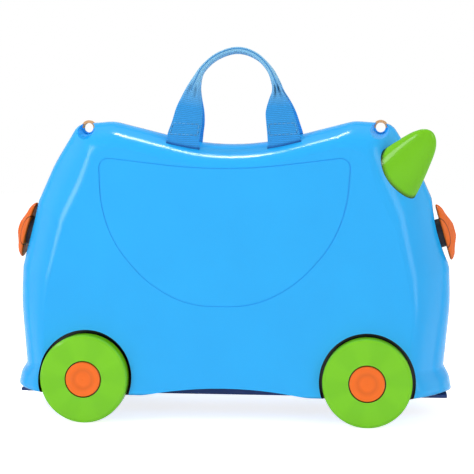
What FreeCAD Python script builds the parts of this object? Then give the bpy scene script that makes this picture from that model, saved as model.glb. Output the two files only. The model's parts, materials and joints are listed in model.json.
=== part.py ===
import FreeCAD, Part
import math
import os
import re
import types

import Sketcher

# Ride on suitcase: two moulded half shells hinged along the bottom, on four wheels.
# Millimetres. +X is the front (horn end), -Y the near half, +Z up, floor at z = 0.

V = FreeCAD.Vector
NEAR, FAR = -1, 1
FRONT, REAR = 1, -1
SIDE_NAME = {NEAR: "near", FAR: "far"}
END_NAME = {FRONT: "front", REAR: "rear"}

# Driving dimensions, one sheet cell each.
SIZES = {
    # case
    "case_half_length": 229.5,
    "case_top_height": 304.8,
    "case_bottom_height": 22.4,
    "side_reach_floor": 97.5,
    "side_reach_top": 43.7,
    "wall": 3.0,
    "trim_thickness": 2.0,
    "trim_depth": 6.0,
    "split_gap": 0.3,
    "groove_width": 0.9,
    "groove_depth": 0.8,
    "flap_setback": 5.0,
    "floor_arch_rise": 11.0,
    "hinge_land_thickness": 6.5,
    # fits
    "run_fit": 0.05,
    "loose_fit": 0.4,
    "overrun": 40.0,
    # wheels
    "wheel_inset": 87.0,
    "wheel_radius": 44.5,
    "wheel_width": 19.0,
    "wheel_proud": 0.5,
    "wheel_bevel": 3.0,
    "wheel_back_pocket": 9.0,
    "wheel_hub_radius": 12.0,
    "wheel_rim_thickness": 5.0,
    "wheel_rib_thickness": 3.0,
    "wheel_rib_count": 8,
    "well_gap": 3.2,
    "well_back_gap": 2.0,
    "thrust_gap": 0.3,
    "axle_radius": 4.0,
    "axle_head_radius": 8.0,
    "axle_head_thickness": 2.0,
    "axle_boss_radius": 10.0,
    "axle_boss_depth": 16.0,
    "axle_tail": 5.0,
    "axle_clip_radius": 9.0,
    "axle_clip_thickness": 1.6,
    "hub_cap_radius": 17.5,
    "hub_cap_gap": 0.9,
    "hub_cap_recess": 6.0,
    "hub_cap_height": 7.2,
    "hub_cap_dish_radius": 11.0,
    "hub_cap_dish_depth": 0.9,
    "hub_cap_skirt": 2.5,
    "hub_cap_hollow": 4.2,
    "hub_cap_bevel": 0.8,
    # bottom hinge
    "hinge_end_gap": 5.5,
    "hinge_drop": 4.4,
    "hinge_knuckle_radius": 3.5,
    "hinge_knuckle_count": 13,
    "hinge_pin_radius": 1.5,
    "hinge_leaf_width": 26.0,
    "hinge_leaf_thickness": 3.0,
    "fairing_thickness": 2.0,
    "hinge_screw_count": 6,
    "hinge_screw_inset": 17.0,
    # screws
    "screw_radius": 1.6,
    "screw_head_radius": 3.0,
    "screw_head_height": 1.6,
    "screw_bite": 5.0,
    # catches
    "catch_height": 188.4,
    "catch_tilt": 16.0,
    "dish_radius": 128.0,
    "dish_depth": 5.0,
    "catch_pad_radius": 33.0,
    "catch_pad_depth": 7.0,
    "catch_shaft_radius": 6.0,
    "catch_bush_radius": 9.6,
    "catch_flange_thickness": 3.0,
    "catch_flange_height": 30.0,
    "catch_flange_reach": 24.0,
    "catch_screw_spread": 11.0,
    "catch_screw_reach": 18.0,
    "catch_stem_radius": 15.0,
    "catch_stem_gap": 1.4,
    "catch_socket_depth": 2.75,
    "catch_plate_start": 7.0,
    "catch_plate_thickness": 11.0,
    "catch_plate_height": 60.0,
    "catch_plate_width": 38.0,
    "cam_gap": 0.6,
    "cam_hub_radius": 8.0,
    "cam_radius": 21.0,
    "cam_rim": 3.0,
    "cam_rim_rise": 3.2,
    "cam_web": 3.0,
    "cam_sweep": 80.0,
    "keeper_lip_inner": 13.5,
    "keeper_lip_gap": 0.8,
    "keeper_sweep": 66.0,
    "keeper_start": 11.2,
    "keeper_reach": 27.5,
    "keeper_height": 36.0,
    "keeper_thickness": 3.0,
    "keeper_screw_spread": 13.0,
    "keeper_screw_reach": 22.5,
    # tow loops
    "loop_inset": 75.5,
    "loop_drop": 6.75,
    "loop_bore_radius": 5.0,
    "loop_ring": 2.8,
    "loop_thickness": 5.0,
    "loop_stem_width": 11.0,
    "loop_stem_length": 24.0,
    "loop_block_margin": 4.0,
    "scoop_mouth_radius": 15.0,
    "scoop_reach": 50.0,
    # horns
    "horn_setback": 25.0,
    "horn_drop": 54.95,
    "horn_sink": 15.4,
    "horn_length": 57.5,
    "horn_width": 57.0,
    "horn_depth": 29.0,
    "horn_boss_radius": 8.0,
    "horn_boss_depth": 8.0,
    "horn_screw_bite": 14.0,
    # handles
    "handle_side_inset": 9.7,
    "handle_setforward": 3.2,
    "handle_rise": 15.25,
    "handle_lean": 15.0,
    "handle_leg_inner": 35.4,
    "handle_webbing_width": 34.2,
    "handle_webbing_thickness": 2.4,
    "handle_leg_top": 51.5,
    "handle_arc_radius": 40.0,
    "handle_arc_height": 53.2,
    "handle_grip_radius": 4.5,
    "handle_slot_gap": 0.4,
    "handle_tail_gap": 0.35,
    "handle_pad_drop": 6.9,
    "handle_pad_margin": 6.0,
    "handle_anchor_thickness": 3.0,
    "handle_tail_below": 3.0,
}

# Half outline at the split, bottom corner to saddle: (length share, height share, radius share).
# Lengths are shares of the case's half length, heights and radii of its own height.
SPLIT_SHARES = [
    (0.830, 0.000, 0.020),
    (1.000, 0.004, 0.012),
    (0.988, 0.060, 0.050),
    (0.962, 0.100, 0.018),
    (0.990, 0.330, 0.900),
    (0.985, 0.457, 0.030),
    (0.911, 0.702, 0.040),
    (0.836, 0.838, 0.500),
    (0.722, 0.990, 0.055),
    (0.552, 1.000, 0.110),
]
SPLIT_SADDLE_SHARES = (0.887, 1.190)

# The same corners on the flat side face.
FLAT_SHARES = [
    (0.770, 0.027, 0.020),
    (0.838, 0.031, 0.030),
    (0.822, 0.076, 0.060),
    (0.800, 0.124, 0.040),
    (0.816, 0.306, 0.900),
    (0.798, 0.420, 0.150),
    (0.734, 0.624, 0.150),
    (0.660, 0.742, 0.500),
    (0.612, 0.877, 0.060),
    (0.512, 0.909, 0.140),
]
FLAT_SADDLE_SHARES = (0.797, 1.190)

# Flap line on the side face, lower corner to top: (length share, height share, radius share).
FLAP_SHARES = [
    (0.147, 0.335, 0.370),
    (0.336, 0.417, 0.440),
    (0.461, 0.530, 0.420),
    (0.516, 0.609, 0.420),
    (0.554, 0.712, 0.460),
    (0.567, 0.870, 0.036),
]
FLAP_SAG_SHARES = (0.815, 1.950)

# Turns of the section from the split (0) to the side face (1), as shares of a right angle,
# and the roundness of the ends in plan (2 is an ellipse, less is sharper at the split).
SECTION_SHARES = [0.0, 0.17, 0.34, 0.51, 0.68, 0.84, 1.0]
END_ROUNDNESS = 1.6

# Corners of the outline's feet, and how soon they lift from the split (1 is evenly).
FOOT_CORNERS = (1, 2)
FOOT_LIFT = 1.8

# Dish of a hub cap, rim to middle: (radius share, depth share).
HUB_DISH_SHARES = [(1.0, 0.0), (0.6, 0.72), (0.0, 1.0)]

# Rounded rim of a wheel's face: (share of the bevel inwards, share of it down from the face).
RIM_SHARES = [(0.0, 1.0), (0.28, 0.28), (1.0, 0.0)]

# Lens of the catch plate: (thickness share, size share).
LENS_SHARES = [(0.0, 0.93), (0.14, 1.0), (0.30, 0.96), (0.62, 0.76), (0.88, 0.48), (1.0, 0.22)]

# Directions of the near horn: its lean, its long way across, and its seat on the shoulder.
HORN_AXIS = V(0.61, -0.30, 0.735)
HORN_ACROSS = V(0.66, 0, -0.75)
HORN_SEAT = V(0.47, -0.81, 0.35)

# Horn sections: (share of its length from the seat, share of its size there).
HORN_SHARES = [
    (-0.45, 1.13), (-0.18, 1.07), (0.0, 1.0), (0.17, 0.92), (0.50, 0.72), (0.74, 0.55),
    (0.88, 0.40), (0.96, 0.24), (1.0, 0.06),
]

# Handle leg outline: (share of the webbing width from the inner edge, share of the leg height).
LEG_SHARES = [
    (0.00, 0.00),
    (1.00, 0.00),
    (0.85, 0.29),
    (0.74, 0.54),
    (0.59, 0.78),
    (0.40, 1.00),
    (0.06, 1.00),
    (-0.02, 0.78),
    (-0.08, 0.54),
    (-0.07, 0.29),
]

doc = FreeCAD.newDocument("ride_on_suitcase")
sheet = doc.addObject("Spreadsheet::Sheet", "sizes")
for row, (alias, number) in enumerate(SIZES.items(), start=1):
    sheet.set(f"A{row}", alias)
    sheet.set(f"B{row}", str(number))
    sheet.setAlias(f"B{row}", alias)
doc.recompute()
s = types.SimpleNamespace(**{alias: float(sheet.get(alias)) for alias in SIZES})

case_height = s.case_top_height - s.case_bottom_height
split_half_gap = s.split_gap / 2
side_slope = (s.side_reach_top - s.side_reach_floor) / s.case_top_height
saddle_height = s.case_bottom_height + SPLIT_SADDLE_SHARES[0] * case_height
wheel_reach = s.case_half_length - s.wheel_inset
wheel_outer = s.side_reach_floor + s.wheel_proud
well_radius = s.wheel_radius + s.well_gap
well_floor = wheel_outer - s.wheel_width - s.well_back_gap
hinge_axis = s.case_bottom_height - s.hinge_drop
handle_side = s.side_reach_top - s.handle_side_inset
handle_height = saddle_height + s.handle_rise
handle_pad_height = saddle_height - s.handle_pad_drop
HINGE_LENGTH = "2 * (case_half_length - hinge_end_gap)"
nodes = []


def tie(text):
    """Prefix every sheet alias in an expression with the sheet's name."""
    return re.sub(r"[a-z][a-z_]*[a-z]", lambda m: "sizes." + m[0] if m[0] in SIZES else m[0], text)


def number(text):
    """Value of an expression of sheet aliases."""
    return float(sheet.evalExpression(tie(text)))


def node(obj, label):
    """Register an object as a piece of the case."""
    obj.Label = label
    nodes.append(obj)
    return obj


def piece(label, shape, placement=None):
    """A piece whose shape is worked out here."""
    obj = doc.addObject("Part::Feature", label)
    obj.Shape = shape
    if placement:
        obj.Placement = placement.multiply(shape.Placement)
    return node(obj, label)


def primitive(kind, name, sizes, base=("0", "0", "0"), turn=None):
    """A Part primitive with its sizes and place bound to the sheet."""
    obj = doc.addObject("Part::" + kind, name)
    for prop, text in sizes.items():
        obj.setExpression(prop, tie(text))
    if turn:
        obj.Placement = FreeCAD.Placement(V(), turn)
    for axis, text in zip("xyz", base):
        obj.setExpression("Placement.Base." + axis, tie(text))
    return obj


def cylinder(radius, height, start, direction):
    return Part.makeCylinder(radius, height, start, direction)


def box(low, high):
    return Part.makeBox(high.x - low.x, high.y - low.y, high.z - low.z, low)


def mirrored(shape):
    """The same shape on the other half."""
    return shape.mirror(V(), V(0, 1, 0))


def on_side(shape, side):
    return shape if side == NEAR else mirrored(shape)


# Sketched bodies


def plane_of(body, role):
    return next(f for f in body.Origin.OriginFeatures if f.Role == role)


def sketch_in(body, role, name):
    sketch = body.newObject("Sketcher::SketchObject", name)
    sketch.AttachmentSupport = (plane_of(body, role), [""])
    sketch.MapMode = "FlatFace"
    return sketch


def pin_point(sketch, line, texts):
    """Fix a line's start point at two bound distances from the sketch's origin."""
    for kind, axis, text in (("DistanceX", -2, texts[0]), ("DistanceY", -1, texts[1])):
        value = number(text)
        if abs(value) < 1e-9:
            sketch.addConstraint(Sketcher.Constraint("PointOnObject", line, 1, axis))
        else:
            index = sketch.addConstraint(Sketcher.Constraint(kind, -1, 1, line, 1, value))
            sketch.setExpression(f"Constraints[{index}]", tie(text))


def polygon_sketch(body, role, name, points):
    """Closed outline whose corners are pairs of expressions."""
    sketch = sketch_in(body, role, name)
    spots = [V(number(a), number(b), 0) for a, b in points]
    for i, spot in enumerate(spots):
        sketch.addGeometry(Part.LineSegment(spot, spots[(i + 1) % len(spots)]), False)
    for i in range(len(spots)):
        sketch.addConstraint(Sketcher.Constraint("Coincident", i, 2, (i + 1) % len(spots), 1))
    for i, texts in enumerate(points):
        pin_point(sketch, i, texts)
    return sketch


def circle_sketch(body, role, name, centre, radius):
    sketch = sketch_in(body, role, name)
    spot = V(number(centre[0]), number(centre[1]), 0)
    sketch.addGeometry(Part.Circle(spot, V(0, 0, 1), number(radius)), False)
    for kind, axis, text in (("DistanceX", -2, centre[0]), ("DistanceY", -1, centre[1])):
        if abs(number(text)) < 1e-9:
            sketch.addConstraint(Sketcher.Constraint("PointOnObject", 0, 3, axis))
        else:
            index = sketch.addConstraint(Sketcher.Constraint(kind, -1, 1, 0, 3, number(text)))
            sketch.setExpression(f"Constraints[{index}]", tie(text))
    index = sketch.addConstraint(Sketcher.Constraint("Radius", 0, number(radius)))
    sketch.setExpression(f"Constraints[{index}]", tie(radius))
    return sketch


def pad(body, sketch, name, length, middle=False):
    feature = body.newObject("PartDesign::Pad", name)
    feature.Profile = sketch
    feature.setExpression("Length", tie(length))
    feature.Midplane = middle
    return feature


def turned_body(label, points):
    """A body revolved about its own Z axis from (radius, height) corners."""
    body = doc.addObject("PartDesign::Body", label + "_body")
    sketch = polygon_sketch(body, "XZ_Plane", label + "_profile", points)
    turn = body.newObject("PartDesign::Revolution", label + "_turn")
    turn.Profile = sketch
    turn.ReferenceAxis = (sketch, ["V_Axis"])
    turn.Angle = 360.0
    return body


# Case form


def rounded_corners(points, radii):
    """Edges of a closed outline in the plane: straight runs and corner arcs, as point triples."""
    count = len(points)
    corners = []
    for i in range(count):
        here, back, ahead = points[i], points[i - 1], points[(i + 1) % count]
        to_back = (back - here).normalize()
        to_ahead = (ahead - here).normalize()
        half = to_back.getAngle(to_ahead) / 2
        room = 0.49 * min((back - here).Length, (ahead - here).Length)
        reach = min(radii[i] / math.tan(half), room)
        radius = reach * math.tan(half)
        middle = (to_back + to_ahead).normalize()
        crown = here + middle * (radius / math.sin(half) - radius)
        corners.append((here + to_back * reach, crown, here + to_ahead * reach))
    return corners


def outline_wire(points, radii, place):
    """Wire of a rounded outline; place turns a plane point into a place in space."""
    corners = rounded_corners(points, radii)
    edges = []
    for i, (start, crown, end) in enumerate(corners):
        edges.append(Part.Arc(place(start), place(crown), place(end)).toShape())
        following = corners[(i + 1) % len(corners)][0]
        edges.append(Part.LineSegment(place(end), place(following)).toShape())
    return Part.Wire(edges)


def full_outline(half, saddle):
    """Outline points and radii, right half, saddle, then the left half mirrored."""
    points = [V(x * s.case_half_length, s.case_bottom_height + z * case_height, 0) for x, z, _ in half]
    radii = [r * case_height for _, _, r in half]
    middle = V(0, s.case_bottom_height + saddle[0] * case_height, 0)
    left = [V(-p.x, p.y, 0) for p in reversed(points)]
    return points + [middle] + left, radii + [saddle[1] * case_height] + radii[::-1]


def shrunk(points, radii, distance):
    """Outline moved inwards by a distance; the points run anticlockwise."""
    moved = []
    grown = []
    for i, here in enumerate(points):
        into = (here - points[i - 1]).normalize()
        out = (points[(i + 1) % len(points)] - here).normalize()
        turn = into.x * out.y - into.y * out.x
        normal_in = V(-into.y, into.x, 0)
        normal_out = V(-out.y, out.x, 0)
        shift = (normal_in + normal_out) * (distance / (1 + normal_in.dot(normal_out)))
        moved.append(here + shift)
        grown.append(max(radii[i] - math.copysign(distance, turn), distance / 2))
    return moved, grown


def side_reach(height):
    return s.side_reach_floor + side_slope * height


def end_reach(height):
    """Half length of the split outline at a height, on the straight run there."""
    points = full_outline(SPLIT_SHARES, SPLIT_SADDLE_SHARES)[0][:len(SPLIT_SHARES)]
    low, high = next((a, b) for a, b in zip(points, points[1:]) if a.y <= height <= b.y)
    return low.x + (high.x - low.x) * (height - low.y) / (high.y - low.y)


def case_form(inset, side_inset):
    """Solid of the near half: sections turn from the split outline to the flat side face."""
    split_points, split_radii = shrunk(*full_outline(SPLIT_SHARES, SPLIT_SADDLE_SHARES), inset)
    flat_points, flat_radii = full_outline(FLAT_SHARES, FLAT_SADDLE_SHARES)
    wires = []
    feet = FOOT_CORNERS + tuple(len(flat_points) - 1 - i for i in FOOT_CORNERS)
    for share in SECTION_SHARES:
        out = math.sin(share * math.pi / 2)
        down = 1 - math.cos(share * math.pi / 2)
        lift = 1 - (1 - out) ** FOOT_LIFT
        inwards = 1 - max(1 - out ** END_ROUNDNESS, 0) ** (1 / END_ROUNDNESS)
        points = [V(a.x + (b.x - a.x) * inwards, a.y + (b.y - a.y) * (lift if i in feet else down), 0)
                  for i, (a, b) in enumerate(zip(split_points, flat_points))]
        radii = [a + (b - a) * down for a, b in zip(split_radii, flat_radii)]
        wires.append(outline_wire(
            points, radii, lambda p, g=out: V(p.x, -g * (side_reach(p.y) - side_inset), p.y)))
    return Part.makeLoft(wires, True, False)


def flap_groove():
    """Shallow line round the flap on the near side face."""
    points = [V(x * s.case_half_length, s.case_bottom_height + z * case_height, 0) for x, z, _ in FLAP_SHARES]
    radii = [r * case_height for _, _, r in FLAP_SHARES]
    sag = V(0, s.case_bottom_height + FLAP_SAG_SHARES[0] * case_height, 0)
    points = points + [sag] + [V(-p.x, p.y, 0) for p in reversed(points)]
    radii = radii + [FLAP_SAG_SHARES[1] * case_height] + radii[::-1]
    normal = V(0, -1, side_slope).normalize()

    def on_face(p):
        return V(p.x - s.flap_setback, -side_reach(p.y), p.y) - normal * s.groove_depth

    outer = Part.Face(outline_wire(points, radii, on_face))
    inner = Part.Face(outline_wire(*shrunk(points, radii, s.groove_width), on_face))
    return outer.cut(inner).extrude(normal * (s.groove_depth + s.wall))


# Places that several pieces share


def wheel_centre(side, end):
    return V(end * wheel_reach, 0, s.wheel_radius)


def outward(side):
    return V(0, side, 0)


def catch_axis(end):
    tilt = math.radians(s.catch_tilt)
    return V(end * math.cos(tilt), 0, math.sin(tilt))


def catch_place(end):
    """Frame at the bottom of the dish: local Z out of the case, local X up the end wall."""
    axis = catch_axis(end)
    up = V(-axis.z * end, 0, abs(axis.x))
    base = V(end * end_reach(s.catch_height), 0, s.catch_height) - axis * s.dish_depth
    return FreeCAD.Placement(base, FreeCAD.Rotation(up, V(), axis, "ZXY"))


def near_sign(end):
    """Local Y direction of the near half at a catch."""
    return 1 if end == FRONT else -1


def at_catch(shape, end):
    moved = shape.copy()
    moved.Placement = catch_place(end)
    return moved


def loop_centre(end):
    return V(end * (s.case_half_length - s.loop_inset), 0, s.case_top_height - s.loop_drop)


def horn_base():
    height = s.case_top_height - s.horn_drop
    return V(end_reach(height) - s.horn_setback, s.horn_sink - side_reach(height), height)


def leg_centre(leg):
    return s.handle_setforward + leg * (s.handle_leg_inner + s.handle_webbing_width / 2)


# Half shells

pad_bottom = -s.catch_pad_depth
hinge_length = number(HINGE_LENGTH)
hinge_screw_step = hinge_length / s.hinge_screw_count


def hinge_screw_spots():
    count = int(s.hinge_screw_count)
    return [(i + 0.5) * hinge_screw_step - hinge_length / 2 for i in range(count)]


def floor_arch(extra):
    """Round cutter under the side panel; extra lifts it for the wall above."""
    rise, span = s.floor_arch_rise, wheel_reach - well_radius
    radius = (span * span + rise * rise) / (2 * rise)
    top = s.case_bottom_height + s.wall + rise
    start = V(0, -s.hinge_leaf_width - s.loose_fit, top - radius)
    return cylinder(radius + extra, s.side_reach_floor, start + V(0, extra, 0), V(0, -1, 0))


def loop_scoop(end, throat, mouth):
    """Cone that opens the way to a tow loop's eye, grown at its throat and mouth."""
    return Part.makeCone(s.loop_bore_radius + throat, s.scoop_mouth_radius + mouth, s.scoop_reach,
                         loop_centre(end), V(0, -1, 0))


def shell_cutters():
    """What is cut from the near shell's outside, and the fuller forms that keep a wall behind it."""
    cuts = [floor_arch(0), flap_groove()]
    keeps = [floor_arch(s.wall)]
    for end in (FRONT, REAR):
        centre = wheel_centre(NEAR, end)
        depth = s.overrun + s.wheel_width
        start = centre - V(0, well_floor, 0)
        cuts.append(cylinder(well_radius, depth, start, V(0, -1, 0)))
        keeps.append(cylinder(well_radius + s.wall, depth, start + V(0, s.wall, 0), V(0, -1, 0)))
        dish_centre = catch_place(end).multVec(V(0, 0, s.dish_radius))
        cuts.append(Part.makeSphere(s.dish_radius, dish_centre))
        keeps.append(Part.makeSphere(s.dish_radius + s.wall, dish_centre))
        keeps.append(at_catch(cylinder(
            s.catch_pad_radius, s.overrun, V(0, 0, pad_bottom), V(0, 0, 1)), end))
        cuts.append(at_catch(cylinder(
            s.catch_bush_radius + s.loose_fit, s.overrun, V(0, 0, -s.overrun / 2), V(0, 0, 1)), end))
        cuts.append(loop_scoop(end, s.loose_fit, 0))
        keeps.append(loop_scoop(end, s.wall, s.wall))
    return cuts, keeps


def handle_slot(leg):
    """Slot for the webbing's tail through the near shell's top."""
    half = s.handle_webbing_width / 2 + s.handle_slot_gap
    deep = s.handle_webbing_thickness / 2 + s.handle_slot_gap
    low = V(leg_centre(leg) - half, -handle_side - deep, handle_pad_height - s.overrun)
    high = V(leg_centre(leg) + half, -handle_side + deep, s.case_top_height)
    return box(low, high)


def handle_pad(leg):
    """Flat seat inside the shell for a handle's anchor plate."""
    half = s.handle_webbing_width / 2 + s.handle_pad_margin
    deep = s.handle_webbing_thickness / 2 + s.handle_pad_margin
    low = V(leg_centre(leg) - half, -handle_side - deep, handle_pad_height)
    high = V(leg_centre(leg) + half, -handle_side + deep, s.case_top_height)
    return box(low, high)


def hinge_land():
    low = V(-s.case_half_length, -s.hinge_leaf_width, 0)
    return box(low, V(s.case_half_length, s.overrun, s.case_bottom_height + s.hinge_land_thickness))


def loop_slot(end, gap):
    """Stem of a tow loop in its block, grown by a gap."""
    half = s.loop_stem_width / 2 + gap
    eye = loop_centre(end)
    low = eye - V(half, split_half_gap + s.loop_thickness + gap, s.loop_stem_length + gap)
    return box(low, eye + V(half, -split_half_gap, 0))


def loop_block(end):
    half = s.loop_stem_width / 2 + s.loop_block_margin
    eye = loop_centre(end)
    low = eye - V(half, s.loop_thickness + s.loop_block_margin, s.loop_stem_length + s.loop_block_margin)
    return box(low, eye + V(half, s.overrun, s.loop_drop))


def loop_ring_cut(end):
    """Room for the ring of a tow loop."""
    centre = loop_centre(end)
    radius = s.loop_bore_radius + s.loop_ring + s.loose_fit / 2
    return cylinder(radius, s.loop_thickness + split_half_gap + s.loose_fit, centre, V(0, -1, 0))


def screw_shape(length, grow=0.0):
    """Screw along +Z from its tip at 0, with its head above the length."""
    shank = cylinder(s.screw_radius + grow, length, V(), V(0, 0, 1))
    if grow:
        return shank
    return shank.fuse(cylinder(s.screw_head_radius, s.screw_head_height, V(0, 0, length), V(0, 0, 1)))


def turned_to(shape, base, direction):
    """A shape along +Z set on a base point along a direction."""
    moved = shape.copy()
    moved.Placement = FreeCAD.Placement(base, FreeCAD.Rotation(V(0, 0, 1), direction))
    return moved


def screw_at(head_seat, direction, length, grow=0.0):
    """Screw whose head sits on a point and whose shank runs along a direction."""
    return turned_to(screw_shape(length, grow), head_seat + direction * length, direction * -1)


def hinge_screws(grow=0.0):
    """Screws of the near leaf, upwards into the shell's hinge land."""
    seat = s.case_bottom_height - s.run_fit - s.hinge_leaf_thickness
    length = s.hinge_leaf_thickness + s.screw_bite
    return [screw_at(V(x, -s.hinge_screw_inset, seat), V(0, 0, 1), length, grow) for x in hinge_screw_spots()]


def base_screws(end, grow=0.0):
    """Screws of a catch base into the near shell's pad."""
    seat = pad_bottom - s.catch_flange_thickness
    reach = near_sign(end) * s.catch_screw_reach
    length = s.catch_flange_thickness + s.screw_bite
    return [at_catch_screw(end, V(x, reach, seat), length, grow)
            for x in (-s.catch_screw_spread, s.catch_screw_spread)]


def keeper_screws(end, grow=0.0):
    """Screws of a keeper into the far shell's pad."""
    seat = pad_bottom - s.keeper_thickness
    reach = -near_sign(end) * s.keeper_screw_reach
    length = s.keeper_thickness + s.screw_bite
    return [at_catch_screw(end, V(x, reach, seat), length, grow)
            for x in (-s.keeper_screw_spread, s.keeper_screw_spread)]


def keeper_room(end):
    """Clear space under the far shell's pad for a keeper's plate."""
    sign = -near_sign(end)
    edges = sorted([sign * (s.keeper_start - s.loose_fit), sign * (s.keeper_reach + s.loose_fit)])
    half = s.keeper_height / 2 + s.loose_fit
    return box(V(-half, edges[0], pad_bottom - s.keeper_thickness), V(half, edges[1], pad_bottom))


def at_catch_screw(end, seat, length, grow):
    place = catch_place(end)
    return screw_at(place.multVec(seat), place.Rotation.multVec(V(0, 0, 1)), length, grow)


def loop_screws(grow=0.0):
    """Cross screws of the tow loops, from the cavity towards the split."""
    shapes = []
    length = s.loop_thickness + s.loop_block_margin
    for end in (FRONT, REAR):
        drop = s.loop_stem_length - s.loop_stem_width / 2
        seat = loop_centre(end) - V(0, length, drop)
        shapes.append(screw_at(seat, V(0, 1, 0), length - split_half_gap - s.screw_radius, grow))
    return shapes


def horn_screw(grow=0.0):
    """Screw from the near cavity through the shoulder into the horn."""
    seat_axis = V(HORN_SEAT).normalize()
    seat = horn_base() - seat_axis * s.horn_boss_depth
    return screw_at(seat, seat_axis, s.horn_boss_depth + s.horn_screw_bite, grow)


def axle_holes():
    return [cylinder(s.axle_radius + s.run_fit, wheel_outer, wheel_centre(NEAR, end), V(0, -1, 0))
            for end in (FRONT, REAR)]


def near_shell_form(outer, side):
    """Shell of one half, made as the near one; the far half leaves out the tow loops."""
    cuts, keeps = shell_cutters()
    keeps.append(hinge_land())
    keeps += [handle_pad(leg) for leg in (-1, 1)]
    seat_axis = V(HORN_SEAT).normalize()
    keeps.append(cylinder(
        s.horn_boss_radius, s.overrun, horn_base() - seat_axis * s.horn_boss_depth, seat_axis))
    cuts.append(horn_screw(s.run_fit))
    cuts += [handle_slot(leg) for leg in (-1, 1)]
    cuts += hinge_screws(s.run_fit)
    if side == NEAR:
        for end in (FRONT, REAR):
            keeps.append(loop_block(end))
            cuts += [loop_slot(end, s.loose_fit / 2), loop_ring_cut(end)]
            cuts += base_screws(end, s.run_fit)
        cuts += loop_screws(s.run_fit)
    else:
        for end in (FRONT, REAR):
            cuts.append(mirrored(at_catch(keeper_room(end), end)))
            cuts += [mirrored(shape) for shape in keeper_screws(end, s.run_fit)]
    rim = box(
        V(-2 * s.case_half_length, -s.trim_thickness, -s.overrun),
        V(2 * s.case_half_length, s.overrun, s.case_top_height + s.overrun))
    cavity = case_form(s.wall, s.wall).cut(keeps)
    shell = outer.cut(cavity)
    bosses = []
    for end in (FRONT, REAR):
        start = wheel_centre(NEAR, end) - V(0, well_floor - s.axle_boss_depth, 0)
        length = s.axle_boss_depth + s.well_back_gap - s.thrust_gap
        bosses.append(cylinder(s.axle_boss_radius, length, start, V(0, -1, 0)))
    shell = shell.cut(cuts).fuse(bosses).cut(axle_holes()).cut(rim)
    return shell.removeSplitter()


outer_form = case_form(0, 0)
for side in (NEAR, FAR):
    piece("shell_" + SIDE_NAME[side], on_side(near_shell_form(outer_form, side), side))


def edge_trim(side):
    """Soft band on a rim, open at the catches and, on the near half, at the tow loops."""
    points, radii = full_outline(SPLIT_SHARES, SPLIT_SADDLE_SHARES)
    start = V(0, -split_half_gap, 0)

    def at_rim(p):
        return V(p.x, start.y, p.y)

    outer = Part.Face(outline_wire(points, radii, at_rim))
    inner = Part.Face(outline_wire(*shrunk(points, radii, s.trim_depth), at_rim))
    band = outer.cut(inner).extrude(V(0, split_half_gap - s.trim_thickness, 0))
    cuts = []
    for end in (FRONT, REAR):
        dish_centre = catch_place(end).multVec(V(0, 0, s.dish_radius))
        cuts.append(Part.makeSphere(s.dish_radius, dish_centre))
        cuts.append(at_catch(cylinder(
            s.catch_bush_radius + s.loose_fit, s.overrun, V(0, 0, -s.overrun / 2), V(0, 0, 1)), end))
        eye_start = loop_centre(end) + V(0, s.overrun / 2, 0)
        cuts.append(cylinder(s.loop_bore_radius + s.loose_fit, s.overrun, eye_start, V(0, -1, 0)))
        if side == NEAR:
            cuts += [loop_slot(end, s.loose_fit / 2), loop_ring_cut(end)]
    return on_side(band.cut(cuts), side)


for side in (NEAR, FAR):
    piece("edge_trim_" + SIDE_NAME[side], edge_trim(side))

# Bottom hinge


def hinge_leaf(side):
    """Leaf with its share of the knuckles, sketched across the case and padded along it."""
    label = "hinge_leaf_" + SIDE_NAME[side]
    body = doc.addObject("PartDesign::Body", label + "_body")
    top = "hinge_drop - run_fit"
    under = top + " - hinge_leaf_thickness"
    pitch = HINGE_LENGTH + " / hinge_knuckle_count"
    odd = side == NEAR
    count = f"floor((hinge_knuckle_count + {1 if odd else 0}) / 2)"
    plate = polygon_sketch(body, "XY_Plane", label + "_plate", [
        ("hinge_knuckle_radius + loose_fit", under), ("hinge_leaf_width", under),
        ("hinge_leaf_width", top), ("hinge_knuckle_radius + loose_fit", top)])
    pad(body, plate, label + "_plate_pad", HINGE_LENGTH)
    knuckle = circle_sketch(body, "XY_Plane", label + "_knuckle", ("0", "0"), "hinge_knuckle_radius")
    neck_side = "hinge_knuckle_radius + 2 * loose_fit"
    neck_top = f"({under} + hinge_knuckle_radius) / 2 + hinge_pin_radius / 2"
    neck = polygon_sketch(body, "XY_Plane", label + "_neck", [
        ("0", under), (neck_side, under), (neck_side, neck_top), ("0", neck_top)])
    features = []
    for sketch in (knuckle, neck):
        start = f"loose_fit / 2 + {'0' if odd else pitch}"
        sketch.setExpression("AttachmentOffset.Base.z", tie(start))
        features.append(pad(body, sketch, sketch.Name + "_pad", f"{pitch} - loose_fit"))
    doc.recompute()
    rows = body.newObject("PartDesign::LinearPattern", label + "_knuckles")
    rows.Originals = features
    rows.Direction = (plate, ["N_Axis"])
    rows.setExpression("Occurrences", tie(count))
    rows.setExpression("Length", tie(f"2 * {pitch} * ({count} - 1)"))
    body.Tip = rows
    doc.recompute()
    bore = circle_sketch(body, "XY_Plane", label + "_bore", ("0", "0"), "hinge_pin_radius + run_fit")
    hole = body.newObject("PartDesign::Pocket", label + "_bore_pocket")
    hole.Profile = bore
    hole.Type = "ThroughAll"
    hole.Reversed = True
    doc.recompute()
    return body


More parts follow.
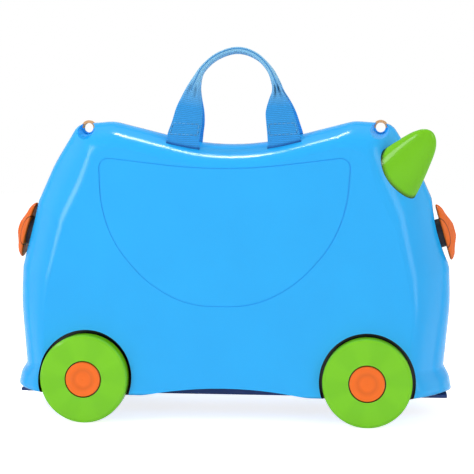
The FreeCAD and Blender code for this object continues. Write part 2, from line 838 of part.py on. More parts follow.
def finished_leaf(side):
    """Leaf placed under its shell, with the screw holes through it."""
    label = "hinge_leaf_" + SIDE_NAME[side]
    body = hinge_leaf(side)
    start = V(-hinge_length / 2, 0, hinge_axis)
    across = V(0, 1, 0) if side == FAR else V(0, -1, 0)
    along = V(1, 0, 0)
    if side == NEAR:
        start = V(hinge_length / 2, 0, hinge_axis)
        along = V(-1, 0, 0)
    body.Placement = FreeCAD.Placement(start, FreeCAD.Rotation(across, V(), along, "ZXY"))
    holes = doc.addObject("Part::Feature", label + "_holes")
    shapes = [on_side(shape, side) for shape in hinge_screws(s.run_fit)]
    holes.Shape = Part.makeCompound(shapes)
    leaf = doc.addObject("Part::Cut", label + "_drilled")
    leaf.Base = body
    leaf.Tool = holes
    return node(leaf, label)


for side in (NEAR, FAR):
    finished_leaf(side)
    piece("hinge_screws_" + SIDE_NAME[side],
          Part.makeCompound([on_side(shape, side) for shape in hinge_screws()]))


def hinge_fairing():
    """Arched strip that closes the near hinge leaf's edge under the floor arch."""
    inner = s.hinge_leaf_width + s.loose_fit + s.run_fit
    span = wheel_reach - well_radius
    low = V(-span, -inner - s.fairing_thickness, s.case_bottom_height - s.hinge_leaf_thickness)
    high = V(span, -inner, s.case_bottom_height + s.wall + s.floor_arch_rise)
    return box(low, high).common(floor_arch(-s.run_fit))


for side in (NEAR, FAR):
    piece("hinge_fairing_" + SIDE_NAME[side], on_side(hinge_fairing(), side))

along_x = FreeCAD.Rotation(V(0, 0, 1), V(1, 0, 0))
hinge_pin = primitive("Cylinder", "hinge_pin_rod", {"Radius": "hinge_pin_radius", "Height": HINGE_LENGTH},
                      (f"-{HINGE_LENGTH} / 2", "0", "case_bottom_height - hinge_drop"), along_x)
node(hinge_pin, "hinge_pin")

# Wheels, hub caps, axles


def wheel(label):
    body = turned_body(label, [
        ("axle_radius + run_fit", "0"), ("wheel_hub_radius", "0"), ("wheel_hub_radius", "wheel_back_pocket"),
        ("wheel_radius - wheel_rim_thickness", "wheel_back_pocket"),
        ("wheel_radius - wheel_rim_thickness", "0"), ("wheel_radius - wheel_bevel", "0"),
        ("wheel_radius", "wheel_bevel"),
        *[(f"wheel_radius - wheel_bevel * {a}", f"wheel_width - wheel_bevel * {b}") for a, b in RIM_SHARES],
        ("hub_cap_radius + hub_cap_gap", "wheel_width"),
        ("hub_cap_radius + hub_cap_gap", "wheel_width - hub_cap_recess"),
        ("axle_radius + run_fit", "wheel_width - hub_cap_recess")])
    inner = "wheel_hub_radius - wheel_rib_thickness / 2"
    outer = "wheel_radius - wheel_rim_thickness / 2"
    half = "wheel_rib_thickness / 2"
    rib = polygon_sketch(body, "XY_Plane", label + "_rib", [
        (inner, f"-{half}"), (outer, f"-{half}"), (outer, half), (inner, half)])
    rib_pad = pad(body, rib, label + "_rib_pad", "wheel_back_pocket + wheel_bevel / 2")
    doc.recompute()
    ribs = body.newObject("PartDesign::PolarPattern", label + "_ribs")
    ribs.Originals = [rib_pad]
    ribs.Axis = (rib, ["N_Axis"])
    ribs.Angle = 360.0
    ribs.setExpression("Occurrences", tie("wheel_rib_count"))
    body.Tip = ribs
    return body


def hub_cap(label):
    hollow = "hub_cap_radius - hub_cap_skirt"
    return turned_body(label, [
        (hollow, "0"), ("hub_cap_radius", "0"), ("hub_cap_radius", "hub_cap_height - hub_cap_bevel"),
        ("hub_cap_radius - hub_cap_bevel", "hub_cap_height"),
        *[(f"hub_cap_dish_radius * {a}", f"hub_cap_height - hub_cap_dish_depth * {b}")
          for a, b in HUB_DISH_SHARES],
        ("0", "hub_cap_hollow"), (hollow, "hub_cap_hollow")])


axle_length = ("axle_tail + axle_boss_depth + well_back_gap + wheel_width - hub_cap_recess"
               " + thrust_gap")


def axle(label):
    end = axle_length + " + axle_head_thickness"
    return turned_body(label, [
        ("0", "0"), ("axle_radius", "0"), ("axle_radius", axle_length), ("axle_head_radius", axle_length),
        ("axle_head_radius", end), ("0", end)])


def along_axle(obj, side, end, reach):
    """Set an object's own Z axis along a wheel's axle, its zero at a distance from the split."""
    turn = FreeCAD.Rotation(V(0, 0, 1), outward(side))
    obj.Placement = FreeCAD.Placement(wheel_centre(side, end) + outward(side) * reach, turn)


wheel_back = wheel_outer - s.wheel_width
boss_back = well_floor - s.axle_boss_depth
for side in (NEAR, FAR):
    clips = []
    for end in (FRONT, REAR):
        corner = SIDE_NAME[side] + "_" + END_NAME[end]
        along_axle(node(wheel("wheel_" + corner), "wheel_" + corner), side, end, wheel_back)
        along_axle(node(hub_cap("hub_cap_" + corner), "hub_cap_" + corner), side, end,
                   wheel_outer - s.hub_cap_recess)
        along_axle(node(axle("axle_" + corner), "axle_" + corner), side, end, boss_back - s.axle_tail)
        ring = cylinder(s.axle_clip_radius, s.axle_clip_thickness, V(), V(0, 0, 1)).cut(
            cylinder(s.axle_radius + s.run_fit, s.axle_clip_thickness, V(), V(0, 0, 1)))
        clip_start = wheel_centre(side, end) + outward(side) * (boss_back - s.axle_clip_thickness)
        clips.append(turned_to(ring, clip_start, outward(side)))
    piece("axle_clips_" + SIDE_NAME[side], Part.makeCompound(clips))

# Horns


def horn_form():
    """Oval horn that leans from local Z, its long way along local X."""
    lean = horn_place().Rotation.inverted().multVec(V(HORN_AXIS).normalize())
    wires = []
    for along, wide in HORN_SHARES:
        ellipse = Part.Ellipse(V(), s.horn_width / 2 * wide, s.horn_depth / 2 * wide)
        wire = Part.Wire(ellipse.toShape())
        wire.translate(lean * (along * s.horn_length))
        wires.append(wire)
    return Part.makeLoft(wires, True, False)


def horn_place():
    """Frame at the horn's seat."""
    return FreeCAD.Placement(horn_base(), FreeCAD.Rotation(V(HORN_ACROSS), V(), V(HORN_AXIS), "XZY"))


near_horn = horn_form()
near_horn.Placement = horn_place()
near_horn = near_horn.cut([outer_form, horn_screw(s.run_fit)])
for side in (NEAR, FAR):
    piece("horn_" + SIDE_NAME[side], on_side(near_horn, side))
    piece("horn_screw_" + SIDE_NAME[side], on_side(horn_screw(), side))

# Catches

shaft_bottom = pad_bottom - s.catch_flange_thickness - s.cam_gap
cam_bottom = shaft_bottom - s.cam_rim_rise - s.cam_web


def sector(radius, height, start, sweep, facing):
    """Slice of a cylinder, centred on a facing angle in degrees from local X."""
    shape = Part.makeCylinder(radius, height, V(0, 0, start), V(0, 0, 1), sweep)
    shape.rotate(V(), V(0, 0, 1), facing - sweep / 2)
    return shape


def catch_knob():
    """Oval lens plate with a socket for its stem."""
    wires = []
    for thick, wide in LENS_SHARES:
        ellipse = Part.Ellipse(V(), s.catch_plate_height / 2 * wide, s.catch_plate_width / 2 * wide)
        wire = Part.Wire(ellipse.toShape())
        wire.translate(V(0, 0, s.catch_plate_start + thick * s.catch_plate_thickness))
        wires.append(wire)
    return Part.makeLoft(wires, True, False).cut(catch_grip(s.run_fit))


def catch_grip(grow=0.0):
    """Round part of a catch's stem, from above the dish up into the lens plate."""
    length = s.catch_plate_start - s.catch_stem_gap + s.catch_socket_depth
    return cylinder(s.catch_stem_radius + grow, length, V(0, 0, s.catch_stem_gap), V(0, 0, 1))


def catch_stem():
    """Stem that carries the lens plate, with the shaft that goes through the bearing."""
    bottom = V(0, 0, shaft_bottom)
    shaft = cylinder(s.catch_shaft_radius, s.catch_plate_start - shaft_bottom, bottom, V(0, 0, 1))
    hole = cylinder(s.screw_radius + s.run_fit, s.screw_bite, bottom, V(0, 0, 1))
    return catch_grip().fuse(shaft).cut(hole)


def catch_base(end):
    """Bearing bush with a flange on the near shell's pad."""
    sign = near_sign(end)
    bush = cylinder(s.catch_bush_radius, s.catch_pad_depth + s.catch_flange_thickness,
                    V(0, 0, pad_bottom - s.catch_flange_thickness), V(0, 0, 1))
    edges = sorted([sign * (split_half_gap + s.trim_thickness), sign * s.catch_flange_reach])
    half = s.catch_flange_height / 2
    flange = box(V(-half, edges[0], pad_bottom - s.catch_flange_thickness), V(half, edges[1], pad_bottom))
    bore = cylinder(s.catch_shaft_radius + s.run_fit, s.overrun, V(0, 0, -s.overrun / 2), V(0, 0, 1))
    return bush.fuse(flange).cut(bore)


def catch_cam():
    """Cam on the shaft's end: a web with a raised rim, pointing up the wall when unlocked."""
    hub = cylinder(s.cam_hub_radius, s.cam_rim_rise + s.cam_web, V(0, 0, cam_bottom), V(0, 0, 1))
    web = sector(s.cam_radius, s.cam_web, cam_bottom, s.cam_sweep, 0)
    rim = sector(s.cam_radius, s.cam_rim_rise + s.cam_web, cam_bottom, s.cam_sweep, 0).cut(
        cylinder(s.cam_radius - s.cam_rim, s.overrun, V(0, 0, cam_bottom), V(0, 0, 1)))
    hole = cylinder(s.screw_radius + s.run_fit, s.overrun, V(0, 0, cam_bottom), V(0, 0, 1))
    return hub.fuse([web, rim]).cut(hole)


def catch_keeper(end):
    """Lip on the far shell that the cam's rim hooks behind."""
    facing = -90 * near_sign(end)
    lip_outer = s.cam_radius - s.cam_rim - s.keeper_lip_gap
    lip_bottom = cam_bottom + s.cam_web + s.cam_gap
    lip = sector(lip_outer, pad_bottom - lip_bottom, lip_bottom, s.keeper_sweep, facing).cut(
        cylinder(s.keeper_lip_inner, s.overrun, V(0, 0, lip_bottom), V(0, 0, 1)))
    sign = -near_sign(end)
    edges = sorted([sign * s.keeper_start, sign * s.keeper_reach])
    half = s.keeper_height / 2
    plate = box(V(-half, edges[0], pad_bottom - s.keeper_thickness), V(half, edges[1], pad_bottom))
    return plate.fuse(lip)


for end in (FRONT, REAR):
    name = END_NAME[end]
    place = catch_place(end)
    back = place.inverse()
    near_holes = [shape.copy() for shape in base_screws(end, s.run_fit)]
    far_holes = [shape.copy() for shape in keeper_screws(end, s.run_fit)]
    for shape in near_holes + far_holes:
        shape.Placement = back.multiply(shape.Placement)
    piece("catch_knob_" + name, catch_knob(), place)
    piece("catch_stem_" + name, catch_stem(), place)
    piece("catch_base_" + name, catch_base(end).cut(near_holes), place)
    piece("catch_cam_" + name, catch_cam(), place)
    cam_screw_length = s.cam_rim_rise + s.cam_web + s.screw_bite - s.screw_radius
    piece("catch_cam_screw_" + name, screw_at(V(0, 0, cam_bottom), V(0, 0, 1), cam_screw_length), place)
    piece("catch_keeper_" + name, catch_keeper(end).cut(far_holes), place)

piece("catch_base_screws", Part.makeCompound(base_screws(FRONT) + base_screws(REAR)))
piece("catch_keeper_screws", Part.makeCompound(keeper_screws(FRONT) + keeper_screws(REAR)))

# Tow loops


def tow_loop(end):
    """Ring with a stem that sits in a block of the near shell."""
    start = loop_centre(end) - V(0, split_half_gap, 0)
    ring = cylinder(s.loop_bore_radius + s.loop_ring, s.loop_thickness, start, V(0, -1, 0))
    stem = loop_slot(end, 0)
    bore = cylinder(s.loop_bore_radius, s.overrun, start + V(0, s.overrun / 2, 0), V(0, -1, 0))
    return ring.fuse(stem).cut([bore] + loop_screws(s.run_fit))


for end in (FRONT, REAR):
    piece("tow_loop_" + END_NAME[end], tow_loop(end))
piece("tow_loop_screws", Part.makeCompound(loop_screws()))

# Handles


def handle_form():
    """Webbing handle in its own plane: local X along the case, local Z up from the hinge line."""
    solids = []
    thick = s.handle_webbing_thickness
    for leg in (-1, 1):
        corners = [V(leg * (s.handle_leg_inner + x * s.handle_webbing_width), thick / 2, z * s.handle_leg_top)
                   for x, z in LEG_SHARES]
        outline = Part.makePolygon(corners + corners[:1])
        solids.append(Part.Face(outline).extrude(V(0, -thick, 0)))
        fold_start = V(leg * s.handle_leg_inner, 0, 0)
        solids.append(cylinder(thick / 2, s.handle_webbing_width, fold_start, V(leg, 0, 0)))
    radius, height = s.handle_arc_radius, s.handle_arc_height
    low = s.handle_leg_top - 2 * s.handle_grip_radius
    arch = Part.Wire([
        Part.LineSegment(V(radius, 0, low), V(radius, 0, height)).toShape(),
        Part.Arc(V(radius, 0, height), V(0, 0, height + radius), V(-radius, 0, height)).toShape(),
        Part.LineSegment(V(-radius, 0, height), V(-radius, 0, low)).toShape()])
    section = Part.Wire(Part.makeCircle(s.handle_grip_radius, V(radius, 0, low), V(0, 0, 1)))
    grip = arch.makePipeShell([section], True, False)
    return grip.fuse(solids)


def handle_tail(leg):
    """Webbing end that passes through the shell's top."""
    half = s.handle_webbing_width / 2
    deep = s.handle_webbing_thickness / 2
    low = V(leg_centre(leg) - half, -handle_side - deep,
            handle_pad_height - s.handle_anchor_thickness - s.handle_tail_below)
    high = V(leg_centre(leg) + half, -handle_side + deep, handle_height - deep - s.handle_tail_gap)
    return box(low, high)


def handle_anchor(leg):
    """Plate under the shell's pad, slotted for the webbing's tail."""
    half = s.handle_webbing_width / 2 + s.handle_pad_margin - s.loose_fit
    deep = s.handle_webbing_thickness / 2 + s.handle_pad_margin - s.loose_fit
    low = V(leg_centre(leg) - half, -handle_side - deep, handle_pad_height - s.handle_anchor_thickness)
    high = V(leg_centre(leg) + half, -handle_side + deep, handle_pad_height)
    return box(low, high).cut(handle_slot(leg))


for side in (NEAR, FAR):
    lean = FreeCAD.Rotation(V(1, 0, 0), side * s.handle_lean)
    base = V(s.handle_setforward, side * handle_side, handle_height)
    piece("handle_strap_" + SIDE_NAME[side], handle_form(), FreeCAD.Placement(base, lean))
    piece("handle_tails_" + SIDE_NAME[side],
          Part.makeCompound([on_side(handle_tail(leg), side) for leg in (-1, 1)]))
    piece("handle_anchors_" + SIDE_NAME[side],
          Part.makeCompound([on_side(handle_anchor(leg), side) for leg in (-1, 1)]))

# Check every object, then write one file for each piece.

doc.recompute()
faults = [obj.Name for obj in doc.Objects if "Invalid" in obj.State or "Error" in obj.State]
faults += [obj.Label for obj in nodes if obj.Shape.isNull() or not obj.Shape.isValid()]
if faults:
    raise RuntimeError("failed objects: " + ", ".join(faults))
os.makedirs("parts", exist_ok=True)
for obj in nodes:
    obj.Shape.exportStep(os.path.join("parts", obj.Label + ".step"))
print(len(nodes), "pieces written")
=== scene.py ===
"""Ride on suitcase: materials, webbing handles, floor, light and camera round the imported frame."""
import json
import math

import bmesh
import bpy
import numpy as np
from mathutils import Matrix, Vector


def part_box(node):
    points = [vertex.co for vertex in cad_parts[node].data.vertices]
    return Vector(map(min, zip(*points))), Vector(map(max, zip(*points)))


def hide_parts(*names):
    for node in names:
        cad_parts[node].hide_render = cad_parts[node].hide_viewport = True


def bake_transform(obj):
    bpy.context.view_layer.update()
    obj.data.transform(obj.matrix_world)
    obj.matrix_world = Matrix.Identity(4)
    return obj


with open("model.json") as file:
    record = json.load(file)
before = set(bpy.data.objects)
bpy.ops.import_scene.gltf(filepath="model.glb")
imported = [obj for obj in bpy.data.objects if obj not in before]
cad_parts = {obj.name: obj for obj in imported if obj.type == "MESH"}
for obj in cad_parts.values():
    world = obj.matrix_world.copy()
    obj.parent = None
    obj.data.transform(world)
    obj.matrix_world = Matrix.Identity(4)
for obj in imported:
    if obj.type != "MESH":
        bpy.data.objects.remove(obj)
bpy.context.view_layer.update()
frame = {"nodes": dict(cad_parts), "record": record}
MM = 0.001

# Wheels and hub caps, from the frame, in metres.
wheel_low, wheel_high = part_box("wheel_near_front")
hub_low, hub_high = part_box("hub_cap_near_front")
WHEEL_REACH = (wheel_low.x + wheel_high.x) / 2
WHEEL_HEIGHT = (wheel_low.z + wheel_high.z) / 2
HUB_SHARE = (hub_high.x - hub_low.x) / (wheel_high.x - wheel_low.x)

# Places on the case that the materials follow, in mm: the wheel wells, the lower end of the tow loops'
# crowns, the ball that shapes the dish behind each catch, and each knob's tilt and middle, along and
# across its tilted axis.
WELL_RADIUS, WELL_FLOOR = 48.0, 76.5
CROWN_HEIGHT = 297.55
DISH_CENTRE, DISH_RADIUS = (335.22, 0.0, 222.30), 128.4
KNOB_TILT = math.radians(16.0)
KNOB_ALONG, KNOB_UP = 262.51, 121.30


# Materials

# Colour sockets of a Mix node. Its number and vector sockets have the same names.
MIX_FIRST, MIX_SECOND, MIX_RESULT = 6, 7, 2
# Range that holds nearly all of a noise texture's values.
NOISE_LOW, NOISE_HIGH = 0.3, 0.7
OCCLUSION_SAMPLES = 8
# Moulded plastic. Noise scales here and below are in cells per metre.
PLASTIC_IOR, SHINE = 1.48, 0.3
DRIFT_SCALE, GLOSS_SCALE, SKIN_SCALE, SKIN_DETAIL = 14.0, 40.0, 1400.0, 3.0
SKIN_STRENGTH, SKIN_DEPTH = 0.03, 0.05 * MM
# Facing values between which the shine fades to a small share, so that edges keep their colour.
FADE_START, FADE_END, FADE_SHARE = 0.42, 0.66, 0.04


def linear(red, green, blue):
    """An sRGB colour, 0 to 255, as the linear colour that a shader takes."""
    def channel(value):
        value /= 255
        return value / 12.92 if value <= 0.04045 else ((value + 0.055) / 1.055) ** 2.4
    return (channel(red), channel(green), channel(blue), 1.0)


def scaled(colour, factor):
    return tuple(min(c * factor, 1.0) for c in colour[:3]) + (1.0,)


class Shader:
    """A new material's node tree, with short calls for the nodes that this scene uses."""

    def __init__(self, name):
        self.material = bpy.data.materials.new(name)
        self.material.use_nodes = True
        self.tree = self.material.node_tree
        self.bsdf = self.tree.nodes["Principled BSDF"]

    def node(self, kind, **settings):
        made = self.tree.nodes.new("ShaderNode" + kind)
        for key, value in settings.items():
            setattr(made, key, value)
        return made

    def fill(self, socket, value):
        """Link an output to a socket, or set the socket to a plain value."""
        if isinstance(value, bpy.types.NodeSocket):
            self.tree.links.new(value, socket)
        else:
            socket.default_value = value

    def set(self, **values):
        for key, value in values.items():
            self.fill(self.bsdf.inputs[key.replace("_", " ")], value)

    def base_colour(self):
        """The output that feeds the base colour."""
        return self.bsdf.inputs["Base Color"].links[0].from_socket

    def place(self, kind="Object"):
        return self.node("TexCoord").outputs[kind]

    def split(self, vector):
        made = self.node("SeparateXYZ")
        self.fill(made.inputs[0], vector)
        return made.outputs

    def noise(self, place, scale, detail=2.0):
        made = self.node("TexNoise")
        made.inputs["Scale"].default_value = scale
        made.inputs["Detail"].default_value = detail
        self.fill(made.inputs["Vector"], place)
        return made.outputs["Fac"]

    def ranged(self, value, low, high, start=NOISE_LOW, end=NOISE_HIGH):
        """A value that goes from low to high as the given one goes from start to end."""
        made = self.node("MapRange")
        for name, number in (("From Min", start), ("From Max", end), ("To Min", low), ("To Max", high)):
            made.inputs[name].default_value = number
        self.fill(made.inputs["Value"], value)
        return made.outputs["Result"]

    def mixed(self, factor, first, second, blend="MIX"):
        made = self.node("Mix", data_type="RGBA", blend_type=blend)
        self.fill(made.inputs["Factor"], factor)
        self.fill(made.inputs[MIX_FIRST], first)
        self.fill(made.inputs[MIX_SECOND], second)
        return made.outputs[MIX_RESULT]

    def math(self, operation, first, second=0.0, third=0.0):
        made = self.node("Math", operation=operation)
        for socket, value in zip(made.inputs, (first, second, third)):
            self.fill(socket, value)
        return made.outputs[0]

    def squares(self, *rows):
        """Sum of squares of each value's distance from its centre, over its size."""
        total = 0.0
        for value, centre, size in rows:
            off = self.math("DIVIDE", self.math("SUBTRACT", value, centre), size)
            total = self.math("MULTIPLY_ADD", off, off, total)
        return total

    def hidden(self, reach, shut, clear):
        """Mask for painted shade: 1 in grooves and along contacts within a reach in mm, 0 on open surfaces.
        """
        made = self.node("AmbientOcclusion", samples=OCCLUSION_SAMPLES)
        made.inputs["Distance"].default_value = reach * MM
        return self.ranged(made.outputs["AO"], 1.0, 0.0, shut, clear)

    def bump(self, height, strength, distance):
        made = self.node("Bump")
        made.inputs["Strength"].default_value = strength
        made.inputs["Distance"].default_value = distance
        self.fill(made.inputs["Height"], height)
        self.set(Normal=made.outputs["Normal"])


def moulded(name, colour, gloss):
    """Moulded plastic: slight drift of colour, uneven gloss (a range of roughness) and a fine skin."""
    dark, pale = 0.975, 1.02
    shader = Shader(name)
    place = shader.place()
    drift = shader.ranged(shader.noise(place, DRIFT_SCALE), 0.0, 1.0)
    shader.set(Base_Color=shader.mixed(drift, scaled(colour, dark), scaled(colour, pale)))
    shader.set(Roughness=shader.ranged(shader.noise(place, GLOSS_SCALE), *gloss))
    shader.bump(shader.noise(place, SKIN_SCALE, SKIN_DETAIL), SKIN_STRENGTH, SKIN_DEPTH)
    shader.set(IOR=PLASTIC_IOR)
    facing = shader.node("LayerWeight").outputs["Facing"]
    shader.set(Specular_IOR_Level=shader.ranged(facing, SHINE, FADE_SHARE * SHINE, FADE_START, FADE_END))
    return shader


def case_plastic(name, colour):
    """Blue moulding with painted shade: deeper in grooves, black in the wheel wells and navy in the catches'
    dishes.
    """
    groove_reach, groove_closed, groove_open, groove_shade = 1.2, 0.45, 0.8, 0.96
    # Painted shade: near black in the wheel wells and navy in the dishes behind the catches, where shade
    # falls.
    well_shade_black, dish_shade_navy = linear(6, 9, 11), linear(26, 40, 78)
    shader = moulded(name, colour, gloss=(0.17, 0.2))
    x, y, z = shader.split(shader.place())
    x = shader.math("ABSOLUTE", x)
    well = shader.squares((x, WHEEL_REACH, WELL_RADIUS * MM), (z, WHEEL_HEIGHT, WELL_RADIUS * MM))
    outside = shader.math("GREATER_THAN", shader.math("ABSOLUTE", y), WELL_FLOOR * MM)
    in_well = shader.math("MULTIPLY", shader.math("LESS_THAN", well, 1.0), outside)
    dish = shader.squares(*[(v, c * MM, DISH_RADIUS * MM) for v, c in zip((x, y, z), DISH_CENTRE)])
    tone = shader.mixed(shader.math("LESS_THAN", dish, 1.0), shader.base_colour(), dish_shade_navy)
    # Painted shade: the blue darkens in grooves and along contacts, found by ambient occlusion.
    groove_shade_mask = shader.hidden(groove_reach, groove_closed, groove_open)
    tone = shader.mixed(groove_shade_mask, tone, scaled(colour, groove_shade))
    shader.set(Base_Color=shader.mixed(in_well, tone, well_shade_black))
    return shader.material


def wheel_plastic(name, colour):
    """Green moulding with faint sectors of painted shade round the wheel, standing in for light on facets,
    and a black line of painted shade round the hub, where its gap lies in shade.
    """
    # Painted shade: the sectors darken the green in turn round the wheel.
    sectors, first_sector, sector_edge, sector_shade = 6.0, 0.7, 0.6, (0.93, 0.955, 0.93, 1.0)
    rim_radius, hub_gap_shade = HUB_SHARE / 2 + 0.013, linear(10, 12, 6)
    shader = moulded(name, colour, gloss=(0.13, 0.18))
    x, _, z = shader.split(shader.place("Generated"))
    angle = shader.math("ARCTAN2", shader.math("SUBTRACT", z, 0.5), shader.math("SUBTRACT", x, 0.5))
    wave = shader.math("SINE", shader.math("MULTIPLY_ADD", angle, sectors, first_sector))
    shade = shader.ranged(wave, 0.0, 1.0, -sector_edge, sector_edge)
    tone = shader.mixed(shade, shader.base_colour(), sector_shade, "MULTIPLY")
    # Painted shade: a black line on the wheel's face round the hub, where the gap lies in shade.
    rim = shader.math("LESS_THAN", shader.squares((x, 0.5, rim_radius), (z, 0.5, rim_radius)), 1.0)
    shader.set(Base_Color=shader.mixed(rim, tone, hub_gap_shade))
    return shader.material


def hub_plastic(name, colour):
    """Orange moulding with a soft ring of painted shade in its shallow dish. Sizes are shares of the cap's
    radius.
    """
    ring_radius, ring_fade, ring_shade = 0.534, 0.2, 0.86
    shader = moulded(name, colour, gloss=(0.16, 0.24))
    x, _, z = shader.split(shader.place("Generated"))
    radius = shader.math("SQRT", shader.squares((x, 0.5, 0.5), (z, 0.5, 0.5)))
    off = shader.math("ABSOLUTE", shader.math("SUBTRACT", radius, ring_radius))
    # Painted shade: a soft darker ring that shows the shallow dish.
    ring = shader.ranged(off, 1.0, 0.0, 0.0, ring_fade)
    shader.set(Base_Color=shader.mixed(ring, shader.base_colour(), scaled(colour, ring_shade)))
    return shader.material


def loop_plastic(name, colour, lower):
    """Tow loop, tan on its crown and blue where it goes down between the halves."""
    shader = moulded(name, colour, gloss=(0.34, 0.48))
    _, _, z = shader.split(shader.place())
    crown = shader.math("GREATER_THAN", z, CROWN_HEIGHT * MM)
    shader.set(Base_Color=shader.mixed(crown, lower, shader.base_colour()))
    return shader.material


def horn_plastic(name, colour):
    """Glossy green moulding, with painted shade along the seam at its foot."""
    horn_shade_reach, horn_shade_closed, horn_shade_open, horn_shade_dark = 6.0, 0.87, 0.95, linear(8, 20, 6)
    shader = moulded(name, colour, gloss=(0.1, 0.16))
    # Painted shade: dark where the horn meets the case, in the shaded gap at its foot.
    seam = shader.hidden(horn_shade_reach, horn_shade_closed, horn_shade_open)
    shader.set(Base_Color=shader.mixed(seam, shader.base_colour(), horn_shade_dark))
    return shader.material


def catch_plastic(name, colour):
    """Orange moulding with a fine oval line of painted shade on the flanks of the knob, standing in for a
    groove. Sizes of the oval are in mm.
    """
    half_along, half_up, line_width, line_shade, flank = 6.2, 15.5, 0.09, 0.22, 4.0
    cosine, sine = math.cos(KNOB_TILT), math.sin(KNOB_TILT)
    shader = moulded(name, colour, gloss=(0.2, 0.3))
    x, y, z = shader.split(shader.place())
    x = shader.math("ABSOLUTE", x)
    along = shader.math("MULTIPLY_ADD", x, cosine, shader.math("MULTIPLY", z, sine))
    up = shader.math("SUBTRACT", shader.math("MULTIPLY", z, cosine), shader.math("MULTIPLY", x, sine))
    oval = shader.squares((along, KNOB_ALONG * MM, half_along * MM), (up, KNOB_UP * MM, half_up * MM))
    off = shader.math("ABSOLUTE", shader.math("SUBTRACT", oval, 1.0))
    on_flank = shader.math("GREATER_THAN", shader.math("ABSOLUTE", y), flank * MM)
    # Painted shade: a dark oval line where a groove would lie in shade.
    line = shader.math("MULTIPLY", shader.math("LESS_THAN", off, line_width), on_flank)
    shader.set(Base_Color=shader.mixed(line, shader.base_colour(), scaled(colour, line_shade)))
    return shader.material


def satin(name, colour):
    """Soft satin moulding with a fine pebbled skin."""
    drift_scale, gloss_scale, pebble_scale, pebble_detail = 30.0, 200.0, 900.0, 3.0
    dark, pale, gloss, shine = 0.85, 1.12, (0.42, 0.6), 0.3
    pebble_strength, pebble_depth = 0.2, 0.1 * MM
    shader = Shader(name)
    place = shader.place()
    drift = shader.ranged(shader.noise(place, drift_scale), 0.0, 1.0)
    shader.set(Base_Color=shader.mixed(drift, scaled(colour, dark), scaled(colour, pale)))
    shader.set(Roughness=shader.ranged(shader.noise(place, gloss_scale), *gloss), Specular_IOR_Level=shine)
    shader.bump(shader.noise(place, pebble_scale, pebble_detail), pebble_strength, pebble_depth)
    return shader.material


def metal(name, colour):
    """Bright plated steel with a fine drawn grain along X."""
    grain, grain_detail, dark, pale, gloss = (60.0, 900.0, 900.0), 3.0, 0.82, 1.1, (0.26, 0.42)
    shader = Shader(name)
    stretch = shader.node("Mapping")
    stretch.inputs["Scale"].default_value = grain
    shader.fill(stretch.inputs["Vector"], shader.place())
    lines = shader.noise(stretch.outputs["Vector"], 1.0, grain_detail)
    tone = shader.ranged(lines, 0.0, 1.0)
    shader.set(Base_Color=shader.mixed(tone, scaled(colour, dark), scaled(colour, pale)))
    shader.set(Roughness=shader.ranged(lines, *gloss), Metallic=1.0)
    return shader.material


def woven(name, colour, grip_highlight, middle):
    """Webbing: ribs across the strap and yarns along it, in the strap's own coordinates in metres.

    It has a painted highlight at the grip, in the middle of the strap's length, and painted shade in creases
    and at its feet.
    """
    rib, yarn, fuzz_scale, fuzz_detail = 2.0 * MM, 1.6 * MM, 500.0, 3.0
    cross_height, rib_height, fuzz_height = 0.35, 0.25, 0.3
    low_height, high_height, strength, depth = 0.2, 1.1, 0.6, 0.5 * MM
    grip_start, grip_end = 50.0 * MM, 85.0 * MM
    colour_shades, grip_highlight_shades = (0.66, 1.18), (0.72, 1.15)
    crease_reach, crease_closed, crease_open, crease_shade = 9.0, 0.55, 0.88, 0.16
    foot_run, foot_reach, foot_closed, foot_open = 28.0 * MM, 4.0, 0.84, 0.93
    foot_shade_blue = linear(14, 74, 156)
    gloss, shine, sheen, sheen_spread = (0.6, 0.8), 0.25, 0.4, 0.35
    shader = Shader(name)
    u, v, _ = shader.split(shader.place("UV"))
    ribs = shader.math("SINE", shader.math("MULTIPLY", u, 2 * math.pi / rib))
    yarns = shader.math("SINE", shader.math("MULTIPLY", v, 2 * math.pi / yarn))
    weave = shader.math("MULTIPLY_ADD", shader.math("MULTIPLY", ribs, yarns), cross_height, 0.5)
    fuzz = shader.noise(shader.place(), fuzz_scale, fuzz_detail)
    weave = shader.math("MULTIPLY_ADD", ribs, rib_height, weave)
    height = shader.math("MULTIPLY_ADD", fuzz, fuzz_height, weave)
    tone = shader.ranged(height, 0.0, 1.0, low_height, high_height)
    # Painted highlight: the grip turns to a paler tone, standing in for light on its top.
    off = shader.math("ABSOLUTE", shader.math("SUBTRACT", u, middle))
    grip = shader.ranged(off, 1.0, 0.0, grip_start, grip_end)
    cloth = shader.mixed(tone, *[shader.mixed(grip, scaled(colour, a), scaled(grip_highlight, b))
                                 for a, b in zip(colour_shades, grip_highlight_shades)])
    # Painted shade: darker in creases and along contacts.
    crease = shader.hidden(crease_reach, crease_closed, crease_open)
    cloth = shader.mixed(crease, cloth, scaled(colour, crease_shade))
    # Painted shade: deep blue at the strap's feet, where they go into their slots.
    low = shader.math("GREATER_THAN", off, middle - foot_run)
    foot_shade_mask = shader.math("MULTIPLY", low, shader.hidden(foot_reach, foot_closed, foot_open))
    shader.set(Base_Color=shader.mixed(foot_shade_mask, cloth, foot_shade_blue))
    shader.set(Roughness=shader.ranged(fuzz, *gloss), Specular_IOR_Level=shine)
    shader.bump(height, strength, depth)
    shader.set(Sheen_Weight=sheen, Sheen_Roughness=sheen_spread)
    return shader.material


